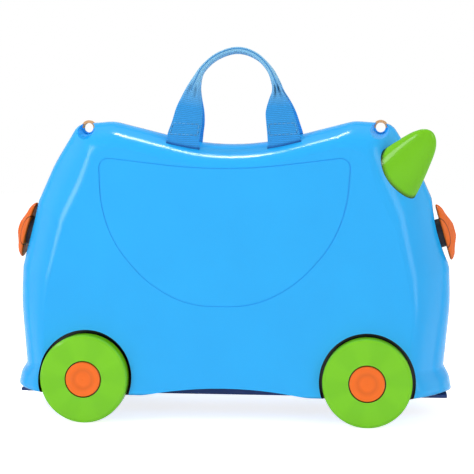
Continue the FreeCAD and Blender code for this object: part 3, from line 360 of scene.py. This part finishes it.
CASE_BLUE = linear(38, 179, 255)
SLOT_MATERIALS = {
    "case_blue": case_plastic("case_blue", CASE_BLUE),
    "wheel_green": wheel_plastic("wheel_green", linear(126, 210, 24)),
    "horn_green": horn_plastic("horn_green", linear(118, 200, 8)),
    "hub_orange": hub_plastic("hub_orange", linear(255, 114, 26)),
    "catch_orange": catch_plastic("catch_orange", linear(238, 108, 26)),
    "catch_dark": satin("catch_dark", linear(44, 40, 52)),
    "anchor_plastic": satin("anchor_plastic", linear(60, 70, 90)),
    "trim_navy": satin("trim_navy", linear(42, 68, 122)),
    "loop_tan": loop_plastic("loop_tan", linear(228, 168, 112), CASE_BLUE),
    "steel": metal("steel", linear(176, 178, 182)),
}
for row in frame["record"]["subparts"]:
    if row["material_slot"] in SLOT_MATERIALS:
        mesh = frame["nodes"][row["node"]].data
        mesh.materials.clear()
        mesh.materials.append(SLOT_MATERIALS[row["material_slot"]])


# Webbing handles, in mm

# Near handle's outline in its own plane, left leg to right leg: outer edge, inner edge, depth. A point of an
# edge is its place along the case and its height above the fold line.
HANDLE = [
    ((-66.4, -28.0), (-32.2, -28.0), 2.4),
    ((-66.4, -14.0), (-32.2, -14.0), 2.4),
    ((-66.4, -5.0), (-32.2, -6.0), 2.4),
    ((-64.8, 5.0), (-31.4, 3.0), 2.4),
    ((-60.8, 17.6), (-29.8, 14.7), 2.4),
    ((-57.3, 31.0), (-29.6, 26.4), 2.6),
    ((-52.4, 42.6), (-30.9, 37.2), 3.6),
    ((-46.9, 54.1), (-32.2, 46.6), 5.4),
    ((-40.8, 64.1), (-32.4, 56.8), 7.4),
    ((-32.9, 76.0), (-28.9, 70.3), 7.0),
    ((-19.4, 88.6), (-16.6, 83.0), 7.2),
    ((-2.1, 95.9), (-0.7, 90.0), 7.2),
    ((13.6, 95.6), (12.4, 89.7), 7.2),
    ((28.7, 88.0), (25.4, 83.0), 7.2),
    ((40.1, 75.2), (35.7, 71.6), 7.0),
    ((47.3, 61.9), (40.4, 60.1), 7.4),
    ((51.8, 51.1), (42.0, 49.4), 5.6),
    ((58.5, 39.8), (38.7, 38.7), 3.8),
    ((64.0, 28.2), (36.0, 26.3), 2.6),
    ((68.0, 15.8), (36.9, 13.9), 2.4),
    ((71.2, 5.0), (38.2, 2.0), 2.4),
    ((72.8, -5.0), (38.6, -6.0), 2.4),
    ((72.8, -14.0), (38.6, -14.0), 2.4),
    ((72.8, -28.0), (38.6, -28.0), 2.4),
]
# Corners of the sewn box on each leg, in the same plane.
LEFT_BOX = [(-63.0, 3.0), (-34.0, 1.5), (-32.8, 13.0), (-60.0, 14.5)]
RIGHT_BOX = [(40.6, 1.5), (69.4, 3.0), (66.4, 14.5), (39.4, 13.0)]
FOLD_SIDE, FOLD_HEIGHT = 34.0, 288.14
# The handle's lean towards the other half, which sets in over this height above the fold line.
LEAN, LEAN_RISE = math.radians(15.0), 4.0
# Heights below and above the fold line; handle() makes two points from them that it does not use.
BEND_BELOW, BEND_ABOVE = 3.0, 5.0
# Places along the case between which a handle's shift dies out.
SHIFT_FULL, SHIFT_NONE = -50.0, 40.0
STATIONS, AROUND = 220, 56
# Depths at which the section is a flat strap and a round grip, and the power of its rounded box there.
SECTION_DEPTHS, SECTION_POWERS = (2.4, 8.0), (0.35, 0.85)
# Pleats where the strap gathers: waves across it, their height and start, and their share by its depth.
PLEATS, PLEAT_HEIGHT, PLEAT_START = 3.0, 1.1, 0.8
GATHER_DEPTHS, GATHER_SHARES = (2.5, 4.4, 5.8, 7.2), (0.0, 1.0, 1.0, 0.0)
# Seam along the grip: the strap's depth where it starts, its place across and out as shares, and its radius.
SEAM_DEPTH, SEAM_ACROSS, SEAM_OUT, SEAM_RADIUS = 5.0, 0.18, 0.97, 0.55
STITCH_LENGTH, STITCH_GAP, STITCH_RADIUS, WEBBING_FACE = 4.0, 0.12, 0.45, 1.2
# A stitch's rise above the webbing, at shares of its length.
STITCH_ARCH = ((0.0, -0.35), (0.15, 0.1), (0.5, 0.28), (0.85, 0.1), (1.0, -0.35))
THREAD_SIDES, THREAD_TIP = 8, 0.55
# Places of a handle's materials.
WEBBING, THREAD, SEAM = range(3)


def smooth_rows(rows, count):
    """Rows of numbers resampled on a Catmull-Rom line through them."""
    rows = np.array(rows, float)
    ends = np.vstack([2 * rows[0] - rows[1], rows, 2 * rows[-1] - rows[-2]])
    out = []
    for t in np.linspace(0, len(rows) - 1 - 1e-9, count):
        i, f = int(t), t - int(t)
        a, b, c, d = ends[i:i + 4]
        out.append(0.5 * (2 * b + (c - a) * f + (2 * a - 5 * b + 4 * c - d) * f ** 2
                          + (3 * b - a - 3 * c + d) * f ** 3))
    return np.array(out)


def in_frame(side, along, up, out):
    """Point of a handle's plane in metres: the webbing stands upright in its slot and leans in above it."""
    lean = LEAN * min(max(up / LEAN_RISE, 0.0), 1.0)
    y = -FOLD_SIDE + up * math.sin(lean) - out * math.cos(lean)
    z = FOLD_HEIGHT + up * math.cos(lean) + out * math.sin(lean)
    return Vector((along, y if side == "near" else -y, z)) * MM


class Mesh:
    """Points, faces and strap coordinates of one piece, built up part by part."""

    def __init__(self):
        self.points, self.faces, self.uvs, self.slots = [], [], [], []

    def skin(self, rings, uvs, slot):
        """Close a skin over equal rings of points, with an end cap on each end."""
        first, around = len(self.points), len(rings[0])
        for ring, row in zip(rings, uvs):
            self.points += ring
            self.uvs += row
        for i in range(len(rings) - 1):
            a = first + i * around
            for k in range(around):
                n = (k + 1) % around
                self.faces.append((a + k, a + n, a + around + n, a + around + k))
        last = first + (len(rings) - 1) * around
        self.faces.append(tuple(range(first + around - 1, first - 1, -1)))
        self.faces.append(tuple(range(last, last + around)))
        self.slots += [slot] * (len(self.faces) - len(self.slots))

    def thread(self, path, radius, slot):
        """Round thread along a path of points in metres, thinner at its two ends."""
        rings, uvs = [], []
        turns = [2 * math.pi * k / THREAD_SIDES for k in range(THREAD_SIDES)]
        for i, point in enumerate(path):
            ahead = (path[min(i + 1, len(path) - 1)] - path[max(i - 1, 0)]).normalized()
            across = ahead.cross(Vector((0, 1, 0))).normalized()
            out = across.cross(ahead)
            size = radius * MM * (THREAD_TIP if i in (0, len(path) - 1) else 1.0)
            rings.append([point + (across * math.cos(a) + out * math.sin(a)) * size for a in turns])
            uvs.append([(0.0, 0.0)] * THREAD_SIDES)
        self.skin(rings, uvs, slot)

    def made(self, name, materials):
        mesh = bpy.data.meshes.new(name)
        mesh.from_pydata(self.points, [], self.faces)
        for material in materials:
            mesh.materials.append(material)
        mesh.polygons.foreach_set("material_index", self.slots)
        layer = mesh.uv_layers.new(name="strap")
        for loop in mesh.loops:
            layer.data[loop.index].uv = self.uvs[loop.vertex_index]
        turn_outwards(mesh)
        mesh.shade_smooth()
        return linked(name, mesh)


def turn_outwards(mesh):
    """Turn every face of a closed mesh outwards."""
    work = bmesh.new()
    work.from_mesh(mesh)
    bmesh.ops.recalc_face_normals(work, faces=work.faces)
    work.to_mesh(mesh)
    work.free()


def linked(name, data):
    made = bpy.data.objects.new(name, data)
    bpy.context.scene.collection.objects.link(made)
    return made


def stitches(mesh, side, start, end, shift):
    """A run of thread stitches between two points of a handle's plane."""
    start, end = np.array(start), np.array(end)
    count = max(int(np.linalg.norm(end - start) / STITCH_LENGTH), 1)
    for i in range(count):
        low = start + (end - start) * (i + STITCH_GAP) / count
        high = start + (end - start) * (i + 1 - STITCH_GAP) / count
        path = []
        for share, rise in STITCH_ARCH:
            spot = low + (high - low) * share
            path.append(in_frame(side, spot[0] + shift, spot[1], WEBBING_FACE + rise))
        mesh.thread(path, STITCH_RADIUS, THREAD)


rows = smooth_rows([(*outer, *inner, depth) for outer, inner, depth in HANDLE], STATIONS)
middles = (rows[:, 0:2] + rows[:, 2:4]) / 2
runs = np.append(0.0, np.cumsum(np.linalg.norm(np.diff(middles, axis=0), axis=1)))
thread_pale = satin("thread_pale", linear(96, 176, 232))
seam_blue = satin("seam_blue", linear(52, 140, 208))
# The second colour is the painted highlight on the grip.
webbing_blue = woven("webbing_blue", linear(52, 158, 234), linear(138, 200, 238), runs[-1] / 2 * MM)


def signed_power(value, power):
    return math.copysign(abs(value) ** power, value)


def handle(side, shift):
    """A strap whose flat legs gather to a round grip; shift moves its left leg along the case."""
    rings, uvs, seam = [], [], []
    for row, centre, run in zip(rows, middles, runs):
        half, depth = (row[0:2] - row[2:4]) / 2, row[4]
        move = float(np.interp(centre[0], (SHIFT_FULL, SHIFT_NONE), (shift, 0.0)))
        power = np.interp(depth, SECTION_DEPTHS, SECTION_POWERS)
        pleat = PLEAT_HEIGHT * float(np.interp(depth, GATHER_DEPTHS, GATHER_SHARES))
        ring, strip = [], []
        for k in range(AROUND):
            turn = 2 * math.pi * k / AROUND
            across = signed_power(math.cos(turn), power)
            out = signed_power(math.sin(turn), power) * depth / 2
            wave = math.sin(PLEATS * math.pi * across + PLEAT_START)
            out += pleat * wave * abs(math.sin(turn)) ** power
            spot = centre + half * across
            ring.append(in_frame(side, spot[0] + move, spot[1], out))
            strip.append((run * MM, across * np.linalg.norm(half) * MM))
        rings.append(ring)
        uvs.append(strip)
        if depth > SEAM_DEPTH:
            spot = centre + half * SEAM_ACROSS
            seam.append(in_frame(side, spot[0] + move, spot[1], depth / 2 * SEAM_OUT))
    mesh = Mesh()
    mesh.skin(rings, uvs, WEBBING)
    mesh.thread(seam, SEAM_RADIUS, SEAM)
    for corners, by in ((LEFT_BOX, shift), (RIGHT_BOX, 0.0)):
        for start, end in zip(corners, corners[1:] + corners[:1]):
            stitches(mesh, side, start, end, by)
    made = mesh.made("webbing_" + side, [webbing_blue, thread_pale, seam_blue])
    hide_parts("handle_strap_" + side, "handle_tails_" + side)
    y = -FOLD_SIDE if side == "near" else FOLD_SIDE
    start, end = (Vector((0, y, FOLD_HEIGHT + rise)) * MM for rise in (-BEND_BELOW, BEND_ABOVE))
    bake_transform(made)


handle("near", 0.0)
handle("far", -5.0)


# Floor, light and camera, in metres

FLOOR_REACH, FLOOR_GLOW, FLOOR_ROUGHNESS = 6.0, 0.76, 0.9
FLOOR_DARK, FLOOR_PALE, FLOOR_SCALE = (0.78, 0.78, 0.78, 1.0), (0.80, 0.80, 0.80, 1.0), 3.0
WHITE = (1.0, 1.0, 1.0, 1.0)
# Light from the horizon and from straight above, and the rise of a direction at which it is that from above.
HORIZON_LIGHT, ZENITH_LIGHT, ZENITH_RISE = 1.76, 0.03, 0.85
# Softboxes: name, place, what it points at, width and height, power in watts.
SOFTBOXES = [
    ("top_softbox", (-0.13, 0.3, 1.7), (0.0, 0.0, 0.25), (0.4, 0.13), 8.0),
    ("left_softbox", (-1.2, -1.1, 1.1), (0.15, 0.0, 0.25), (0.5, 0.9), 9.0),
    ("right_softbox", (1.4, -0.9, 0.9), (0.1, 0.0, 0.2), (0.5, 1.0), 4.0),
]
CAMERA_PLACE, CAMERA_AIM = Vector((0.1554, -1.486, 0.283)), Vector((0.0035, 0.0, 0.1826))
SENSOR_WIDTH = 36.0
# The photograph's width and its camera's focal length, in pixels.
PHOTO_WIDTH, FOCAL_LENGTH = 474, 1415


def seen_directly(tree):
    """1 for camera, glossy and transmission rays, 0 for the rays that light the object."""
    path = tree.nodes.new("ShaderNodeLightPath")
    total = path.outputs["Is Camera Ray"]
    for name in ("Is Glossy Ray", "Is Transmission Ray"):
        larger = tree.nodes.new("ShaderNodeMath")
        larger.operation = "MAXIMUM"
        tree.links.new(total, larger.inputs[0])
        tree.links.new(path.outputs[name], larger.inputs[1])
        total = larger.outputs[0]
    return total


def pale_floor():
    """Wide white floor: plain white to the camera, but for the object's soft shadow."""
    shader = Shader("floor_white")
    grain = shader.ranged(shader.noise(shader.place(), FLOOR_SCALE), 0.0, 1.0)
    shader.set(Base_Color=shader.mixed(grain, FLOOR_DARK, FLOOR_PALE))
    shader.set(Roughness=FLOOR_ROUGHNESS, Specular_IOR_Level=0.0, Emission_Color=WHITE)
    shader.set(Emission_Strength=shader.math("MULTIPLY", seen_directly(shader.tree), FLOOR_GLOW))
    corners = [(x * FLOOR_REACH, y * FLOOR_REACH, 0) for x, y in ((-1, -1), (1, -1), (1, 1), (-1, 1))]
    mesh = bpy.data.meshes.new("floor")
    mesh.from_pydata(corners, [], [(0, 1, 2, 3)])
    mesh.materials.append(shader.material)
    linked("floor", mesh)


def white_world():
    """Plain white surroundings, softer from straight above where they light the object."""
    world = bpy.data.worlds.new("studio")
    world.use_nodes = True
    tree = world.node_tree
    split = tree.nodes.new("ShaderNodeSeparateXYZ")
    tree.links.new(tree.nodes.new("ShaderNodeTexCoord").outputs["Generated"], split.inputs[0])
    level = tree.nodes.new("ShaderNodeMapRange")
    level.inputs["From Max"].default_value = ZENITH_RISE
    level.inputs["To Min"].default_value = HORIZON_LIGHT
    level.inputs["To Max"].default_value = ZENITH_LIGHT
    tree.links.new(split.outputs["Z"], level.inputs["Value"])
    pick = tree.nodes.new("ShaderNodeMapRange")
    tree.links.new(seen_directly(tree), pick.inputs["Value"])
    tree.links.new(level.outputs["Result"], pick.inputs["To Min"])
    pick.inputs["To Max"].default_value = 1.0
    background = tree.nodes["Background"]
    background.inputs["Color"].default_value = WHITE
    tree.links.new(pick.outputs["Result"], background.inputs["Strength"])
    bpy.context.scene.world = world


def pointed(made, place, aim):
    """Put a lamp or camera in its place and point it at its aim."""
    made.location = place
    made.rotation_euler = (Vector(aim) - Vector(place)).to_track_quat("-Z", "Y").to_euler()


def softbox(name, place, aim, size, power):
    light = bpy.data.lights.new(name, "AREA")
    light.shape = "RECTANGLE"
    light.size, light.size_y = size
    light.energy = power
    pointed(linked(name, light), place, aim)


def photo_camera():
    """Camera at the photograph's viewing angle."""
    camera = bpy.data.cameras.new("camera")
    camera.sensor_width = SENSOR_WIDTH
    camera.lens = SENSOR_WIDTH * FOCAL_LENGTH / PHOTO_WIDTH
    view = linked("camera", camera)
    pointed(view, CAMERA_PLACE, CAMERA_AIM)
    bpy.context.scene.camera = view


pale_floor()
white_world()
for row in SOFTBOXES:
    softbox(*row)
photo_camera()
bpy.context.scene.view_settings.view_transform = "Standard"
